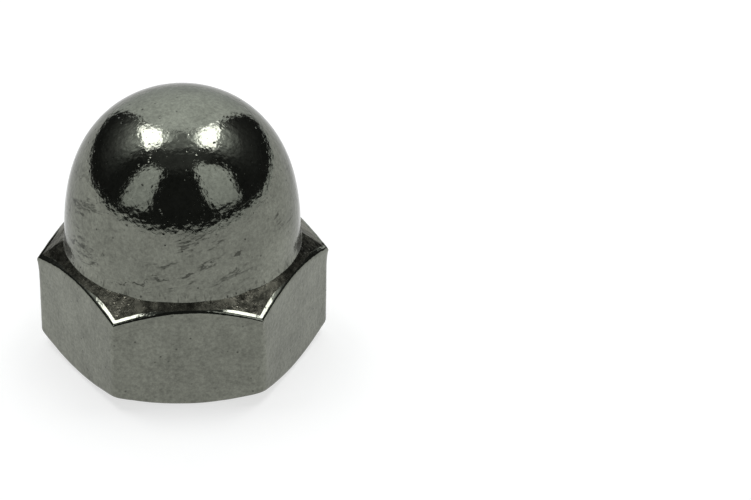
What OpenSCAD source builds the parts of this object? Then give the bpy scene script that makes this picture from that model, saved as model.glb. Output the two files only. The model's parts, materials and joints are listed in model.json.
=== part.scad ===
// Hexagon cap nut: a six-sided wrench body that closes in a dome over a blind threaded hole.
// The origin is the centre of the bearing face, and +Z runs up through the top of the dome.
// The bore is drawn at the thread's minor diameter, with no thread form in it.

/* [Overall] */
// Width across flats
across_flats = 13; // [10:0.5:18]
// Total height from the bearing face to the top of the dome
total_h = 14.25; // [11:0.25:20]

/* [Wrench body] */
// Height of the hexagon, up to where the dome wall leaves it
hex_h = 6.05; // [4.5:0.05:8]
// Slope of the turned chamfer on top of the hexagon, from the horizontal, in degrees
top_chamfer = 32; // [15:0.5:40]
// Slope of the chamfer round the bearing face, from the horizontal, in degrees
base_chamfer = 27; // [15:1:40]
// How far the edge of the bearing face lies inside the flats
bearing_step = 0.45; // [0.2:0.05:0.8]

/* [Dome] */
// How far the foot of the dome wall lies inside the flats
dome_step = 0.5; // [0.2:0.05:0.8]
// Draft of the dome wall, in degrees
dome_draft = 2; // [0:0.5:5]
// Metal left over the point of the hole, at the top of the dome
cap_wall = 2; // [1:0.1:4]

/* [Hole] */
// Nominal thread diameter
thread_d = 8; // [5:0.5:9]
// Thread pitch
thread_pitch = 1.25; // [0.5:0.25:1.5]
// How far the countersunk mouth opens past the thread, on the radius
mouth_clearance = 0.4; // [0.1:0.05:0.6]
// Slope of the countersink, from the horizontal, in degrees
mouth_slope = 40; // [30:1:60]
// Included angle of the hole's drilled point, in degrees
drill_point = 118; // [90:2:140]

/* [Hidden] */
$fn = 96;

// Flats face -Y and +Y, and two corners lie on the X axis.
flat_r = across_flats / 2;
corner_r = flat_r / cos(30);
bearing_r = flat_r - bearing_step;
foot_r = flat_r - dome_step;

// Both chamfer cones run out past the corners by this much, so that they trim them whole.
overrun = 1;
cone_r = corner_r + overrun;

// The crown is part of a sphere that the drafted wall meets at a tangent. The wall lies a hair
// inside that tangent, so that the two surfaces cross in one clean circle. A dome that is too low
// for a wall is a cap of a larger sphere, which meets the hexagon a hair outside the foot.
hair = 0.003;
least_wall = 0.05;
dome_h = total_h - hex_h;
walled_crown_r = (foot_r + hair - dome_h * tan(dome_draft))
    / (cos(dome_draft) - tan(dome_draft) * (1 - sin(dome_draft)));
has_wall = dome_h - walled_crown_r * (1 - sin(dome_draft)) > least_wall;
cap_crown_r = (pow(foot_r + hair, 2) + pow(dome_h, 2)) / (2 * dome_h);
crown_r = has_wall ? walled_crown_r : cap_crown_r;
crown_z = total_h - crown_r;
wall_top_r = crown_r * cos(dome_draft) - hair;
wall_top_z = crown_z + crown_r * sin(dome_draft);

// Basic minor diameter of a 60 degree metric thread
minor_r = (thread_d - 5 / 8 * sqrt(3) * thread_pitch) / 2;
mouth_r = thread_d / 2 + mouth_clearance;
mouth_depth = (mouth_r - minor_r) * tan(mouth_slope);
point_h = minor_r / tan(drill_point / 2);
bore_depth = total_h - cap_wall - point_h;
cut = 0.5;

// The dome is drawn from this far down inside the hexagon, so that the two are one solid.
root_z = hex_h / 2;

// Hexagon trimmed by a turned cone at each end
module wrench_body() {
    intersection() {
        cylinder(r = corner_r, h = hex_h, $fn = 6);
        rotate_extrude()
            polygon([
                [0, 0],
                [bearing_r, 0],
                [cone_r, (cone_r - bearing_r) * tan(base_chamfer)],
                [cone_r, hex_h - (cone_r - foot_r) * tan(top_chamfer)],
                [foot_r, hex_h],
                [0, hex_h]
            ]);
    }
}

// Drafted wall, where the dome is tall enough for one, and round crown
module dome() {
    rotate_extrude() {
        polygon(concat(
            [[0, root_z], [foot_r, root_z], [foot_r, hex_h]],
            has_wall ? [[wall_top_r, wall_top_z], [0, wall_top_z]] : [[0, hex_h]]
        ));
        intersection() {
            translate([0, crown_z]) circle(r = crown_r);
            translate([0, has_wall ? hex_h : root_z]) square(total_h);
        }
    }
}

// Drilled hole with its point, and the countersink at its mouth
module blind_hole() {
    cylinder(r = minor_r, h = bore_depth);
    translate([0, 0, bore_depth]) cylinder(r1 = minor_r, r2 = 0, h = point_h);
    cylinder(r1 = mouth_r, r2 = minor_r, h = mouth_depth);
    translate([0, 0, -cut]) cylinder(r = mouth_r, h = cut);
}

module cap_nut() {
    color([0.56, 0.56, 0.54])
        difference() {
            union() {
                wrench_body();
                dome();
            }
            blind_hole();
        }
}

cap_nut();
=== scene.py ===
import json
import math

import bpy
from mathutils import Matrix, Vector


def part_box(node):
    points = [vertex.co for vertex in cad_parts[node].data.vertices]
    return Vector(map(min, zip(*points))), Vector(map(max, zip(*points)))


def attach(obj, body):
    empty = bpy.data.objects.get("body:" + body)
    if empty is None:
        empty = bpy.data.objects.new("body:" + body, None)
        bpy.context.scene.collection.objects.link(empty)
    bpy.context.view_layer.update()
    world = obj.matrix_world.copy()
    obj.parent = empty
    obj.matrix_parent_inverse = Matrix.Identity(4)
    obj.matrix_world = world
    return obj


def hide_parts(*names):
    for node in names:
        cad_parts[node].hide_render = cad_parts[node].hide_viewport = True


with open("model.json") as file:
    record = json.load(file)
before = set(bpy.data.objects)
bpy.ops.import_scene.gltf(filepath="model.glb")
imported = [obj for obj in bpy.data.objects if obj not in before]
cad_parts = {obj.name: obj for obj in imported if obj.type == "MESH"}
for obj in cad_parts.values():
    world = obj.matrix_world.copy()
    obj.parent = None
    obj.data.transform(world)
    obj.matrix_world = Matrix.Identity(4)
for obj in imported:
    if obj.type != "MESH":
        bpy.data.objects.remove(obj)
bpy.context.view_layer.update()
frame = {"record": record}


# ------------------------------------------------------------------ cap nut
# A hexagon nut that a dome closes over a blind, right-hand M8 x 1.25 thread. The real one is
# stainless steel, pressed and turned in one piece, drilled and tapped from below, and tumbled.
# The mesh is one closed sheet: columns go round the axis, rows from the crown to the drill point.

class Field:
    """A value in a node tree, with the arithmetic that rules for shapes and finishes need."""

    def __init__(self, tree, socket):
        self.tree = tree
        self.socket = socket

    def math(self, operation, *values, clamp=False):
        node = self.tree.nodes.new("ShaderNodeMath")
        node.operation = operation
        node.use_clamp = clamp
        for socket, value in zip(node.inputs, values):
            plug(self.tree, socket, value)
        return Field(self.tree, node.outputs[0])

    def __add__(self, other):
        return self.math("ADD", self, other)

    def __sub__(self, other):
        return self.math("SUBTRACT", self, other)

    def __mul__(self, other):
        return self.math("MULTIPLY", self, other)

    def __truediv__(self, other):
        return self.math("DIVIDE", self, other)

    def __rsub__(self, other):
        return self.math("SUBTRACT", other, self)

    def __rtruediv__(self, other):
        return self.math("DIVIDE", other, self)

    def __neg__(self):
        return self.math("MULTIPLY", self, -1.0)

    def __pow__(self, power):
        return self.math("POWER", self, power)

    __radd__ = __add__
    __rmul__ = __mul__

    def sin(self):
        return self.math("SINE", self)

    def cos(self):
        return self.math("COSINE", self)

    def tan(self):
        return self.math("TANGENT", self)

    def sqrt(self):
        return self.math("SQRT", self)

    def abs(self):
        return self.math("ABSOLUTE", self)

    def floor(self):
        return self.math("FLOOR", self)

    def fract(self):
        return self.math("FRACT", self)

    def over(self, limit):
        return self.math("GREATER_THAN", self, limit)

    def at_most(self, other):
        return self.math("MINIMUM", self, other)

    def at_least(self, other):
        return self.math("MAXIMUM", self, other)

    def ramp(self, low, high):
        """0 where the value is at low, 1 where it is at high, and held outside them."""
        return self.math("DIVIDE", self - low, high - low, clamp=True)

    def smooth(self, low, high):
        """A ramp that eases in and out."""
        t = self.ramp(low, high)
        return t * t * (3.0 - t * 2.0)

    def to(self, other, share):
        """Goes from this value to the other one as the share goes from 0 to 1."""
        return self + (other - self) * share


def plug(tree, socket, value):
    """Gives a node's input a number, or links a field or a socket to it."""
    if isinstance(value, Field):
        value = value.socket
    if isinstance(value, bpy.types.NodeSocket):
        tree.links.new(value, socket)
    else:
        socket.default_value = value


def axes_of(tree, vector, letters="XYZ"):
    """The parts of a vector, each as a field."""
    node = tree.nodes.new("ShaderNodeSeparateXYZ")
    tree.links.new(vector, node.inputs[0])
    return [Field(tree, node.outputs[letter]) for letter in letters]


MM = 0.001
cad_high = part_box("cap_nut")[1]
thread_mount = next(m for m in frame["record"]["mounts"] if m["name"] == "thread")
minor_r = thread_mount["dims"]["r_mm"] * MM
flat_r = cad_high.y
drill_point_half = math.radians(59.0)

nut_sizes = {
    "Flat radius": flat_r,
    "Total height": cad_high.z,
    "Hexagon height": 6.05 * MM,
    "Dome radius": flat_r - 0.45 * MM,
    "Dome base": 6.1 * MM,
    "Top chamfer": math.radians(32.0),
    "Hollow slope": math.radians(38.0),
    "Hollow slope at the flats": math.radians(41.0),
    "Rim slope": math.radians(29.5),
    "Rim width": 0.15 * MM,
    "Base chamfer": math.radians(27.0),
    "Bearing radius": flat_r - 0.45 * MM,
    "Mouth radius": 4.4 * MM,
    "Mouth slope": math.radians(40.0),
    "Minor radius": minor_r,
    "Major radius": 4.0 * MM,
    "Pitch": 1.25 * MM,
    "Bore depth": 10.25 * MM,
    "Point height": minor_r / math.tan(drill_point_half),
    "Corner rounding": 0.1 * MM,
    "Worn corner rounding": 0.65 * MM,
    "Foot flare": 0.05 * MM,
    "Flare height": 0.5 * MM,
    "Top edge rounding": 0.28 * MM,
    "Top corner rounding": 0.26 * MM,
    "Base edge rounding": 0.25 * MM,
    "Face edge rounding": 0.3 * MM,
    "Lip rounding": 0.14 * MM,
    "Waviness": 0.03 * MM,
    "Edge wear": 0.02 * MM,
    "Wear seed": 0.0,
}
# The dome is a touch fuller at its shoulder than a half sphere, for which both powers are 2.
rise_power = 2.62
spread_power = 2.13
skirt_height = 0.9 * MM
sides = 6
columns_per_side = 48
rows_per_turn = 16
thread_turns = 9
thread_start = 0.3 * MM
run_out_from, run_out_to = 8.2 * MM, 9.9 * MM
# How strongly rows and columns crowd towards edges, from 0, evenly spread, to 1.
crowding = 0.9
skirt_crowding = 0.95
quarter = math.pi / 2
half_side = math.pi / sides

tree = bpy.data.node_groups.new("cap_nut_shape", "GeometryNodeTree")
tree.is_modifier = True
inputs = {}
for name in nut_sizes:
    inputs[name] = tree.interface.new_socket(
        name=name, in_out="INPUT", socket_type="NodeSocketFloat")
inputs["Steel"] = tree.interface.new_socket(
    name="Steel", in_out="INPUT", socket_type="NodeSocketMaterial")
tree.interface.new_socket(name="Geometry", in_out="OUTPUT", socket_type="NodeSocketGeometry")
group_in = tree.nodes.new("NodeGroupInput")
size = {name: Field(tree, group_in.outputs[name]) for name in nut_sizes}

# The sheet starts as a flat grid, 1 m each way. A side starts and ends at a corner.
columns = columns_per_side * sides
position = tree.nodes.new("GeometryNodeInputPosition").outputs[0]
grid_x, grid_y = axes_of(tree, position, "XY")
side = ((grid_x + 0.5) * columns + 0.5).floor() / columns_per_side
across = side.fract() * 2.0 - 1.0
off_flat = ((across * quarter).sin() * crowding + across * (1.0 - crowding)) * half_side
from_flat = off_flat.abs()
turn = side.floor() * (2 * half_side) + half_side + off_flat


def hexagon_at(rounding):
    """Distance from the axis to the flats, with the corner between two flats rounded."""
    centre = (size["Flat radius"] - rounding) / math.cos(half_side)
    rounding_from = centre.math("ARCTAN2", centre * math.sin(half_side), size["Flat radius"])
    along = centre * (from_flat - half_side).cos()
    reach = (along * along - centre * centre + rounding * rounding).at_least(0.0).sqrt()
    return (size["Flat radius"] / off_flat.cos()).to(along + reach, from_flat.over(rounding_from))


def arc(centre, radius, angle):
    """A point on a rounded edge. The angle is the outward normal's, up from the horizontal."""
    return centre[0] + radius * angle.cos(), centre[1] + radius * angle.sin()


def eased(t):
    """Crowds rows towards both ends of a strip, so that shading turns at the edges."""
    return t - (t * math.tau).sin() * (crowding / math.tau)


def line(start, end):
    """A straight strip."""
    def shape(t):
        share = eased(t)
        return start[0] + (end[0] - start[0]) * share, start[1] + (end[1] - start[1]) * share
    return shape


# Centres of the rounded edges, each tangent to the two surfaces that it joins. Near the corners
# the chamfer's rim lies flatter than the hollow between it and the dome's foot.
base_slope, mouth_slope = size["Base chamfer"], size["Mouth slope"]
rim_share = from_flat.smooth(0.2 * half_side, 0.75 * half_side)
hollow_slope = size["Hollow slope at the flats"].to(size["Hollow slope"], rim_share)
rim_slope = hollow_slope.to(size["Rim slope"], rim_share)
rim_width = size["Rim width"] * (rim_share + 0.1)
at_corner = from_flat.smooth(0.55 * half_side, half_side)
top_round = size["Top edge rounding"].to(size["Top corner rounding"], at_corner)
hexagon_r = hexagon_at(size["Corner rounding"])
worn_r = hexagon_at(size["Worn corner rounding"])
foot_r = size["Dome radius"]
flared_r = foot_r + size["Foot flare"]
edge_z = size["Hexagon height"] - (hexagon_r - foot_r) * size["Top chamfer"].tan()
top_c = (hexagon_r - top_round, edge_z + top_round * rim_slope.tan() - top_round / rim_slope.cos())
rim_end = arc(top_c, top_round, quarter - rim_slope)
rim_start = (rim_end[0] - rim_width, rim_end[1] + rim_width * rim_slope.tan())
foot_z = rim_start[1] + (rim_start[0] - flared_r) * hollow_slope.tan()
skirt_top = size["Dome base"] + skirt_height

base_round = size["Base edge rounding"]
base_r = worn_r - base_round
base_rise = (base_r - size["Bearing radius"]) * base_slope.tan()
base_c = (base_r, base_rise + base_round / base_slope.cos())
face_round = size["Face edge rounding"]
face_inset = face_round * (1.0 / base_slope.cos() - 1.0) / base_slope.tan()
face_c = (size["Bearing radius"] - face_inset, face_round)
lip_round = size["Lip rounding"]
lip_inset = lip_round * (1.0 / mouth_slope.cos() - 1.0) / mouth_slope.tan()
lip_c = (size["Mouth radius"] + lip_inset, lip_round)
entry_r = size["Mouth radius"] - thread_start / mouth_slope.tan()
bore_end = size["Bore depth"]


def dome_share(z):
    share = (z - size["Dome base"]) / (size["Total height"] - size["Dome base"])
    return share.at_least(0.0) ** (rise_power / 2)


def dome(t):
    polar_end = dome_share(skirt_top)
    polar = t * polar_end.math("ARCCOSINE", polar_end)
    spread = polar.sin().at_least(0.0) ** (2.0 / spread_power)
    rise = polar.cos().at_least(0.0) ** (2.0 / rise_power)
    return foot_r * spread, size["Dome base"].to(size["Total height"], rise)


def skirt(t):
    """The foot of the dome, flared a little where it meets the chamfer."""
    z = skirt_top.to(foot_z, (t * quarter).sin() * skirt_crowding + t * (1.0 - skirt_crowding))
    share = dome_share(z)
    r = foot_r * (1.0 - share * share).at_least(0.0) ** (1.0 / spread_power)
    flare = ((foot_z - z) / size["Flare height"] + 1.0).at_least(0.0)
    return r + size["Foot flare"] * flare * flare, z


def flats(t):
    """The corners are sharp under the chamfer, and fully worn from two fifths of the way down."""
    return hexagon_r.to(worn_r, t.smooth(0.0, 0.4)), top_c[1].to(base_c[1], eased(t))


def thread(t):
    """Rows follow the helix, and stop at the countersink and at the end of the bore."""
    turns = t * thread_turns
    z = size["Pitch"] * (turns - 1.0 + turn / math.tau) + thread_start
    z = z.at_least(thread_start).at_most(bore_end)
    # Crest, flank, root and flank take 4, 5, 2 and 5 of the 16 rows in a turn. The hair keeps a
    # row that starts a turn out of the turn before it.
    crest, flank, hair = 4 / rows_per_turn, 5 / rows_per_turn, 0.001
    phase = (turns + hair).fract()
    depth = ((phase - crest).at_most(1.0 - phase) / flank).at_least(0.0).at_most(1.0)
    depth = depth * z.ramp(run_out_to, run_out_from)
    r = size["Minor radius"].to(size["Major radius"], depth)
    return r.at_least(size["Mouth radius"] - z / mouth_slope.tan()), z


def top_edge(t):
    return arc(top_c, top_round, (quarter - rim_slope) * (1.0 - t))


def base_edge(t):
    return arc(base_c, base_round, (base_slope - quarter) * t)


def face_edge(t):
    return arc(face_c, face_round, base_slope * (1.0 - t) - quarter)


def lip(t):
    return arc(lip_c, lip_round, -(quarter + mouth_slope * t))


def drill_point(t):
    return size["Minor radius"] * (1.0 - t), bore_end + size["Point height"] * t


base_start = arc(base_c, base_round, base_slope - quarter)
face_start = arc(face_c, face_round, base_slope - quarter)
lip_end = arc(lip_c, lip_round, -(quarter + mouth_slope))

# Each strip's rows and shape, and how far it belongs to each finish: an edge, which wear dents, a
# pressed flat, turned, faced, in the bore, or in the hollow round the dome's foot.
strips = [
    (44, dome, {}),
    (18, skirt, {}),
    (12, line((flared_r, foot_z), rim_start), {"hollow": 1.0}),
    (6, line(rim_start, rim_end), {}),
    (8, top_edge, {"edge": 1.0}),
    (26, flats, {"flat": 1.0}),
    (8, base_edge, {"edge": 0.6}),
    (6, line(base_start, face_start), {"turned": 1.0}),
    (6, face_edge, {"turned": 1.0, "edge": 0.4}),
    (10, line((face_c[0], 0.0), (lip_c[0], 0.0)), {"faced": 1.0}),
    (6, lip, {"edge": 0.3}),
    (6, line(lip_end, (entry_r, thread_start)), {"turned": 1.0}),
    (rows_per_turn * thread_turns, thread, {"bore": 1.0}),
    (8, drill_point, {"bore": 1.0}),
]
finish_names = ("edge", "flat", "turned", "faced", "bore", "hollow")
rows = sum(count for count, shape, finish in strips)
row = ((0.5 - grid_y) * rows + 0.5).floor()
grid = tree.nodes.new("GeometryNodeMeshGrid")
grid.inputs["Size X"].default_value = 1.0
grid.inputs["Size Y"].default_value = 1.0
grid.inputs["Vertices X"].default_value = columns + 1
grid.inputs["Vertices Y"].default_value = rows + 1

none_yet = row * 0.0
radius_at, height_at = none_yet, size["Total height"]
finishes = {name: none_yet for name in finish_names}
first_row = 0
for count, shape, finish in strips:
    past = row.over(first_row + 0.5)
    strip_r, strip_z = shape(row.ramp(first_row, first_row + count))
    radius_at, height_at = radius_at.to(strip_r, past), height_at.to(strip_z, past)
    for name in finish_names:
        finishes[name] = finishes[name].to(finish.get(name, 0.0), past)
    first_row += count

# The finishes are stored before the sheet is bent, while each row still has its place.
geometry = grid.outputs["Mesh"]
for name in finish_names:
    store = tree.nodes.new("GeometryNodeStoreNamedAttribute")
    store.data_type = "FLOAT"
    store.domain = "POINT"
    store.inputs["Name"].default_value = name
    tree.links.new(geometry, store.inputs["Geometry"])
    plug(tree, store.inputs["Value"], finishes[name])
    geometry = store.outputs["Geometry"]

spot = tree.nodes.new("ShaderNodeCombineXYZ")
for socket, value in zip(spot.inputs, (radius_at * turn.cos(), radius_at * turn.sin(), height_at)):
    plug(tree, socket, value)
bend = tree.nodes.new("GeometryNodeSetPosition")
tree.links.new(geometry, bend.inputs["Geometry"])
tree.links.new(spot.outputs[0], bend.inputs["Position"])
# Welding closes the seam, the crown and the drill point.
weld = tree.nodes.new("GeometryNodeMergeByDistance")
weld.inputs["Distance"].default_value = 0.0005 * MM
tree.links.new(bend.outputs[0], weld.inputs["Geometry"])


def noise(tree, vector, scale, detail=2.0, roughness=0.5):
    """Cloudy noise around 0.5. The scale is in patches to the metre."""
    node = tree.nodes.new("ShaderNodeTexNoise")
    node.inputs["Scale"].default_value = scale
    node.inputs["Detail"].default_value = detail
    node.inputs["Roughness"].default_value = roughness
    tree.links.new(vector, node.inputs["Vector"])
    return Field(tree, node.outputs[0])


# Pressing and tumbling leave the faces a little wavy and the edges dented, always inwards. The
# seed moves the pattern to another place.
edge_kept = tree.nodes.new("GeometryNodeInputNamedAttribute")
edge_kept.data_type = "FLOAT"
edge_kept.inputs["Name"].default_value = "edge"
edge_share = Field(tree, edge_kept.outputs["Attribute"])
seeded = tree.nodes.new("ShaderNodeVectorMath")
tree.links.new(position, seeded.inputs[0])
plug(tree, seeded.inputs[1], size["Wear seed"])
waves = noise(tree, seeded.outputs[0], 420.0)
dents = noise(tree, seeded.outputs[0], 1300.0).ramp(0.5, 0.75)
sink = size["Waviness"] * waves + size["Edge wear"] * dents * edge_share
normal = tree.nodes.new("GeometryNodeInputNormal")
inwards = tree.nodes.new("ShaderNodeVectorMath")
inwards.operation = "SCALE"
tree.links.new(normal.outputs[0], inwards.inputs[0])
plug(tree, inwards.inputs["Scale"], -sink)
wear = tree.nodes.new("GeometryNodeSetPosition")
tree.links.new(weld.outputs[0], wear.inputs["Geometry"])
tree.links.new(inwards.outputs[0], wear.inputs["Offset"])

smoothed = tree.nodes.new("GeometryNodeSetShadeSmooth")
realized = tree.nodes.new("GeometryNodeRealizeInstances")
finished = tree.nodes.new("GeometryNodeSetMaterial")
group_out = tree.nodes.new("NodeGroupOutput")
for before, after in ((wear, smoothed), (smoothed, realized), (realized, finished)):
    tree.links.new(before.outputs[0], after.inputs["Geometry"])
tree.links.new(group_in.outputs["Steel"], finished.inputs["Material"])
tree.links.new(finished.outputs[0], group_out.inputs[0])

# The finish is bright and a little warm, finely pitted all over, dull round the dome's foot, and
# matt on the bearing face.
steel = bpy.data.materials.new("tumbled_stainless_steel")
steel.use_nodes = True
shader = steel.node_tree
principled = shader.nodes["Principled BSDF"]
principled.inputs["Metallic"].default_value = 1.0
principled.inputs["Specular Tint"].default_value = (0.74, 0.74, 0.74, 1)
vector = shader.nodes.new("ShaderNodeTexCoord").outputs["Object"]


def attribute(name):
    node = shader.nodes.new("ShaderNodeAttribute")
    node.attribute_name = name
    return Field(shader, node.outputs["Fac"])


def stretched(amounts):
    node = shader.nodes.new("ShaderNodeVectorMath")
    node.operation = "MULTIPLY"
    plug(shader, node.inputs[0], vector)
    node.inputs[1].default_value = amounts
    return node.outputs[0]


def joined(x, y, z):
    node = shader.nodes.new("ShaderNodeCombineXYZ")
    for socket, value in zip(node.inputs, (x, y, z)):
        plug(shader, socket, value)
    return node.outputs[0]


def dots(scale, width):
    """Scattered round spots, 1 in the middle of each, so many to the metre.

    The width is a share of their spacing.
    """
    node = shader.nodes.new("ShaderNodeTexVoronoi")
    node.inputs["Scale"].default_value = scale
    shader.links.new(vector, node.inputs["Vector"])
    return Field(shader, node.outputs["Distance"]).smooth(width, 0.0)


# The edges are left out, because only the dents read them.
flat, turned, faced, bore, hollow = (attribute(name) for name in finish_names[1:])
at_x, at_y, at_z = axes_of(shader, vector)
at_r = (at_x * at_x + at_y * at_y).sqrt().at_least(0.1 * MM)
outside = 1.0 - bore

# The skin all over: cloudy and finely grained, with pits and smaller specks.
blotches = noise(shader, vector, 750.0) - 0.5
mottle = noise(shader, vector, 5200.0, 3.0, 0.65) - 0.5
grit = noise(shader, vector, 11000.0, 1.0) - 0.5
dimples = noise(shader, vector, 3400.0, 1.0) - 0.5
pits = dots(1700.0, 0.15)
specks = dots(4200.0, 0.16)
upright_marks = noise(shader, stretched((1.0, 1.0, 0.05)), 3600.0) - 0.5

# The hollow round the dome's foot is scuffed and streaked outwards, and turning leaves rings.
scuffs = noise(shader, vector, 2300.0) - 0.5
radial = noise(shader, joined(at_x / at_r, at_y / at_r, 0.0), 26.0, 3.0, 0.6) - 0.5
rings = noise(shader, joined(at_r, at_z, 0.0), 14000.0) - 0.5

# Pressing draws the skin of the lower dome into fine, broken, slanting lines and cracks.
slant = math.radians(17)
drawn_along = at_x * math.cos(slant) + at_z * math.sin(slant)
drawn_across = at_z * math.cos(slant) - at_x * math.sin(slant)


def drawn(stretch, scale, detail, roughness):
    """Noise that is stretched along the slanting lines. A low stretch makes long marks."""
    along = joined(drawn_along * stretch, at_y * stretch, drawn_across)
    return noise(shader, along, scale, detail, roughness)


dashes = drawn(0.28, 4600.0, 3.0, 0.7)
cracks = drawn(0.2, 1600.0, 4.0, 0.65)
bands = drawn(0.4, 620.0, 3.0, 0.65)
cracked = (cracks - 0.5).abs().smooth(0.05, 0.0) * dashes.smooth(0.40, 0.50)
fine_lines = (dashes.smooth(0.61, 0.66) * 0.6).at_least(cracked) * bands.smooth(0.53, 0.60)

# A lap is a seam where the skin folded over. Laps lie a fixed distance apart and wander, most of
# them stay shut, and one shows across the front of the dome.
lap_spacing = 1.45 * MM
lap_shift = 0.36
lap_wander = 1.1
front_lap = 5.0
wobble = noise(shader, vector, 900.0, 5.0, 0.65) - 0.5
lap_count = drawn_across / lap_spacing + lap_shift + wobble * lap_wander
lap_number = lap_count.floor()
gaps = noise(shader, vector, 1500.0)
off_lap = (lap_count.fract() - 0.5).abs() - gaps.smooth(0.45, 0.65) * 0.06
lap = off_lap.smooth(0.02, 0.0) * gaps.smooth(0.40, 0.47) * dashes.smooth(0.34, 0.46)
at_front_lap = lap_number.math("COMPARE", lap_number, front_lap, 0.5)
at_front_lap = at_front_lap * at_y.smooth(-4.6 * MM, -5.2 * MM)
opened = noise(shader, vector, 330.0).smooth(0.54, 0.62).at_least(at_front_lap)

low_dome = at_z.smooth(6.0 * MM, 6.8 * MM) * at_z.smooth(12.0 * MM, 9.5 * MM) * outside
foot = at_z.smooth(6.9 * MM, 6.1 * MM) * at_z.over(6.0 * MM) * outside
foot_marks = noise(shader, stretched((1.0, 1.0, 0.3)), 5500.0, 2.0, 0.6).smooth(0.56, 0.66)
lines = fine_lines.at_least(lap * opened) * (low_dome * 0.85 + 0.15)
lines = lines.at_least(foot_marks * foot * 0.8)

steel_colour = (0.180, 0.186, 0.158)
hollow_colour = (0.138, 0.134, 0.108)
colour = shader.nodes.new("ShaderNodeMix")
colour.data_type = "RGBA"
plug(shader, colour.inputs["Factor"], hollow)
colour.inputs["A"].default_value = (*steel_colour, 1)
colour.inputs["B"].default_value = (*hollow_colour, 1)
tone = 1.0 + blotches * 0.5 + mottle + grit * 0.4 + upright_marks * flat * 0.15
tone = (tone + (blotches * 1.2 + scuffs * 1.2 + radial * 1.4) * hollow).at_least(0.2)
tone = tone * (1.0 - pits * 0.75) * (1.0 - specks * 0.3) * (1.0 - lines * 0.62)
tint = shader.nodes.new("ShaderNodeVectorMath")
tint.operation = "SCALE"
shader.links.new(colour.outputs["Result"], tint.inputs[0])
plug(shader, tint.inputs["Scale"], tone)
shader.links.new(tint.outputs[0], principled.inputs["Base Color"])

skin_roughness = 0.07
dull = faced * 0.26 + bore * 0.12 + turned * 0.05 + hollow * (0.18 + scuffs * 0.4)
dull = dull + specks * 0.3 + pits * 0.2
plug(shader, principled.inputs["Roughness"], dull + skin_roughness + blotches * 0.04)

# The heights are in millimetres.
relief = dimples * 0.0135 + mottle * 0.006 + scuffs * hollow * 0.022
relief = relief + rings * (turned + faced * 0.5) * 0.004
relief = relief - pits * 0.012 - specks * 0.0025 - lines * 0.002
bump = shader.nodes.new("ShaderNodeBump")
bump.inputs["Distance"].default_value = 1.0
bump.inputs["Strength"].default_value = 1.0
plug(shader, bump.inputs["Height"], relief * MM)
shader.links.new(bump.outputs[0], principled.inputs["Normal"])

cap_nut = bpy.data.objects.new("cap_nut_steel", bpy.data.meshes.new("cap_nut_steel"))
bpy.context.scene.collection.objects.link(cap_nut)
modifier = cap_nut.modifiers.new("shape", "NODES")
modifier.node_group = tree
for name, value in {**nut_sizes, "Steel": steel}.items():
    modifier[inputs[name].identifier] = value
shaped = cap_nut.evaluated_get(bpy.context.evaluated_depsgraph_get())
cap_nut.data = bpy.data.meshes.new_from_object(shaped)
cap_nut.modifiers.clear()
cap_nut.data.name = "cap_nut_steel"
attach(cap_nut, "root")
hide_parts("cap_nut")


# ------------------------------------------------------------------ floor
# A plain white sheet that the nut stands on. To the camera it is white but for the nut's shadow,
# and it shows in the steel as a pale glow that is a little stronger behind the nut.
floor_reach = 3.0
floor_corners = [
    (-floor_reach, -floor_reach, 0), (floor_reach, -floor_reach, 0),
    (floor_reach, floor_reach, 0), (-floor_reach, floor_reach, 0),
]
floor_mesh = bpy.data.meshes.new("floor")
floor_mesh.from_pydata(floor_corners, [], [(0, 1, 2, 3)])
floor = bpy.data.objects.new("floor", floor_mesh)
bpy.context.scene.collection.objects.link(floor)
sheet = bpy.data.materials.new("white_sheet")
sheet.use_nodes = True
sheet_tree = sheet.node_tree
sheet_tree.nodes.clear()
paper = sheet_tree.nodes.new("ShaderNodeBsdfDiffuse")
glow = sheet_tree.nodes.new("ShaderNodeEmission")
lit = sheet_tree.nodes.new("ShaderNodeAddShader")
rays = sheet_tree.nodes.new("ShaderNodeLightPath")
seen = Field(sheet_tree, rays.outputs["Is Camera Ray"])
mirrored = Field(sheet_tree, rays.outputs["Is Glossy Ray"])
sheet_place = sheet_tree.nodes.new("ShaderNodeNewGeometry")
sheet_x, sheet_y = axes_of(sheet_tree, sheet_place.outputs["Position"], "XY")
behind_nut = sheet_y.smooth(-10.0 * MM, -5.0 * MM)
close_by = (sheet_x * sheet_x + sheet_y * sheet_y).sqrt().smooth(28.0 * MM, 12.0 * MM)
paper_grey, paper_lift = 0.30, 0.12
glow_seen, glow_mirrored = 0.66, 0.60
glow_in_steel = behind_nut * (close_by * 0.12 + 0.08) + glow_mirrored
plug(sheet_tree, paper.inputs["Color"], seen * paper_lift + paper_grey)
plug(sheet_tree, glow.inputs["Strength"], seen * glow_seen + mirrored * glow_in_steel)
sheet_tree.links.new(paper.outputs[0], lit.inputs[0])
sheet_tree.links.new(glow.outputs[0], lit.inputs[1])
sheet_out = sheet_tree.nodes.new("ShaderNodeOutputMaterial")
sheet_tree.links.new(lit.outputs[0], sheet_out.inputs["Surface"])
floor_mesh.materials.append(sheet)


# ------------------------------------------------------------------ soft boxes
# Two soft boxes hang side by side over the nut. Each shines inside the outline that shows past
# the wall, as seen from the nut. Their sizes and places are shares of the height they hang at.

def inside(x, y, corners, soft):
    """1 inside a convex outline and 0 outside it, softly. Corners run anticlockwise."""
    nearest = None
    for (ax, ay), (bx, by) in zip(corners, corners[1:] + corners[:1]):
        length = math.hypot(bx - ax, by - ay)
        from_edge = (y - ay) * ((bx - ax) / length) - (x - ax) * ((by - ay) / length)
        nearest = from_edge if nearest is None else nearest.at_most(from_edge)
    return nearest.smooth(-soft, soft)


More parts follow.
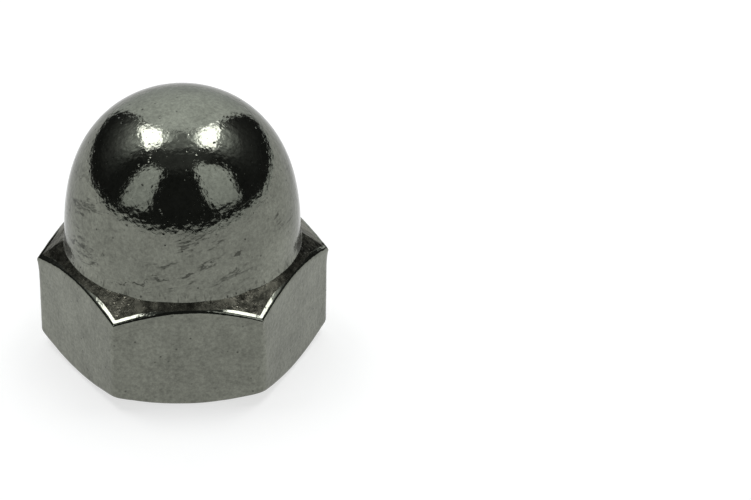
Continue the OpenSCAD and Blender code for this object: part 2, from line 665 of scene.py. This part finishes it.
lamp_h = 0.6
box_x, box_y = (0.21, 0.69), (-0.11, 0.77)
box_outline = [
    (0.26, 0.11), (0.33, 0.0), (0.55, -0.02), (0.60, 0.05),
    (0.63, 0.63), (0.57, 0.67), (0.28, 0.34),
]
box_softness = 0.05
box_radiance = 6.0
for name, mirror, shift_x, shift_y in (
    ("soft_box_left", -1, 0.0, 0.0),
    ("soft_box_right", 1, -0.02, -0.05),
):
    data = bpy.data.lights.new(name, "AREA")
    data.shape = "RECTANGLE"
    data.size = (box_x[1] - box_x[0]) * lamp_h
    data.size_y = (box_y[1] - box_y[0]) * lamp_h
    data.energy = box_radiance * math.pi * data.size * data.size_y
    data.use_nodes = True
    lamp_tree = data.node_tree
    where = lamp_tree.nodes.new("ShaderNodeNewGeometry").outputs["Position"]
    where_x, where_y = axes_of(lamp_tree, where, "XY")
    lamp_x = where_x / (mirror * lamp_h) - shift_x
    lamp_y = where_y / lamp_h - shift_y
    shown = inside(lamp_x, lamp_y, box_outline, box_softness)
    plug(lamp_tree, lamp_tree.nodes["Emission"].inputs["Strength"], shown)
    lamp = bpy.data.objects.new(name, data)
    lamp.location = (mirror * sum(box_x) / 2 * lamp_h, sum(box_y) / 2 * lamp_h, lamp_h)
    bpy.context.scene.collection.objects.link(lamp)


# ------------------------------------------------------------------ room
# A dark room, which shows only in the steel: a pale wall behind the nut, two grey panels in front
# of it, and light that spills round the soft boxes. To the camera the room is plain white.
world = bpy.data.worlds.new("studio")
bpy.context.scene.world = world
world.use_nodes = True
sky = world.node_tree
sky.nodes.clear()
sky_coords = sky.nodes.new("ShaderNodeTexCoord")
sky_x, sky_y, sky_z = axes_of(sky, sky_coords.outputs["Generated"])
# In degrees: the heading is 0 in front and 90 on the right, and the height is 0 at the horizon.
heading = sky_x.math("ARCTAN2", sky_x, -sky_y) * (180 / math.pi)
height = sky_z.math("ARCSINE", sky_z) * (180 / math.pi)

# The wall fills the back between its two ends, up to its top. The far part of the sheet shows all
# round, just over the horizon.
right_end = 149.5 - height.ramp(12, 55) * 12.0
left_end = 157.0 - height.ramp(8, 60) * 13.0
behind = (heading - right_end).smooth(-1.5, 1.5) + (-heading - left_end).smooth(-1.5, 1.5)
wall_top = sky_y - sky_z * 0.25 - (sky_x.abs() - sky_z * 0.1).at_least(0.0) * 0.75
wall = behind * wall_top.smooth(-0.012, 0.012) * (height.ramp(0, 40) * 0.47 + 0.92)
sheet_rim = heading.ramp(0, 50) * 2.2 + 1.0
wall = wall.at_least((height - sheet_rim).smooth(0.7, -0.7) * 0.85)

# The panels' outlines, in degrees of heading and height.
left_outline = [(-67, 9.5), (-38, 14), (-31.5, 56), (-56, 54.5), (-66, 41)]
right_outline = [(35, 13.5), (62, 12), (66, 40), (60, 50), (31, 61.5), (21.5, 56), (26, 24)]
panel_softness = 1.5
left_panel = inside(heading, height, left_outline, panel_softness)
right_panel = inside(heading, height, right_outline, panel_softness)
panels = (left_panel + right_panel * 1.05) * (height.ramp(15, 50) * 0.3 + 0.74)

# The soft boxes spill light down both sides, more steeply on the right, and a little overhead.
under_box = height.smooth(22, 58)
low_spill = height.smooth(10, 30) * 0.09
left_spill = (heading + 124.0).abs().smooth(42, 8) * (under_box ** 1.5 * 0.9 + low_spill)
right_spill = (heading - 115.0).abs().smooth(45, 5) * (under_box ** 2.5 + low_spill * 0.45)
overhead = height.smooth(50, 64) * 0.07
spill = (left_spill + right_spill) * height.smooth(86, 76) + overhead
# Between the boxes the ceiling is grey.
over_x, over_y = sky_x / sky_z.at_least(0.2), sky_y / sky_z.at_least(0.2)
between = over_x.abs().smooth(0.4, 0.2) * over_y.smooth(-0.22, -0.05) * 0.38
darkest = 0.033
room = wall.at_least(panels + spill + between + darkest)
sky_rays = sky.nodes.new("ShaderNodeLightPath")
room = room.to(1.0, Field(sky, sky_rays.outputs["Is Camera Ray"]))
background = sky.nodes.new("ShaderNodeBackground")
background.inputs["Color"].default_value = (0.98, 1.02, 1.01, 1)
plug(sky, background.inputs["Strength"], room)
sky_out = sky.nodes.new("ShaderNodeOutputWorld")
sky.links.new(background.outputs[0], sky_out.inputs["Surface"])


# ------------------------------------------------------------------ camera
# A long lens, 17 cm from the nut, tipped down by 33 degrees and rolled by one. It aims to the
# right of the nut, so the nut stands left of the middle of the view.
camera_data = bpy.data.cameras.new("camera")
camera_data.sensor_width = 36.0
camera_data.lens = 163.55
camera_data.clip_start, camera_data.clip_end = 0.01, 10.0
camera = bpy.data.objects.new("camera", camera_data)
bpy.context.scene.collection.objects.link(camera)
camera_at = Vector((-4.198, -147.111, 100.56)) * MM
aim = Vector((9.757, -1.614, 5.963)) * MM
roll = math.radians(1.094)
away = (aim - camera_at).normalized()
level = away.cross(Vector((0, 0, 1))).normalized()
upright = level.cross(away)
right = level * math.cos(roll) + upright * math.sin(roll)
up = upright * math.cos(roll) - level * math.sin(roll)
camera.matrix_world = Matrix((
    (right.x, up.x, -away.x, camera_at.x),
    (right.y, up.y, -away.y, camera_at.y),
    (right.z, up.z, -away.z, camera_at.z),
    (0, 0, 0, 1),
))
bpy.context.scene.camera = camera
bpy.context.scene.view_settings.view_transform = "Standard"
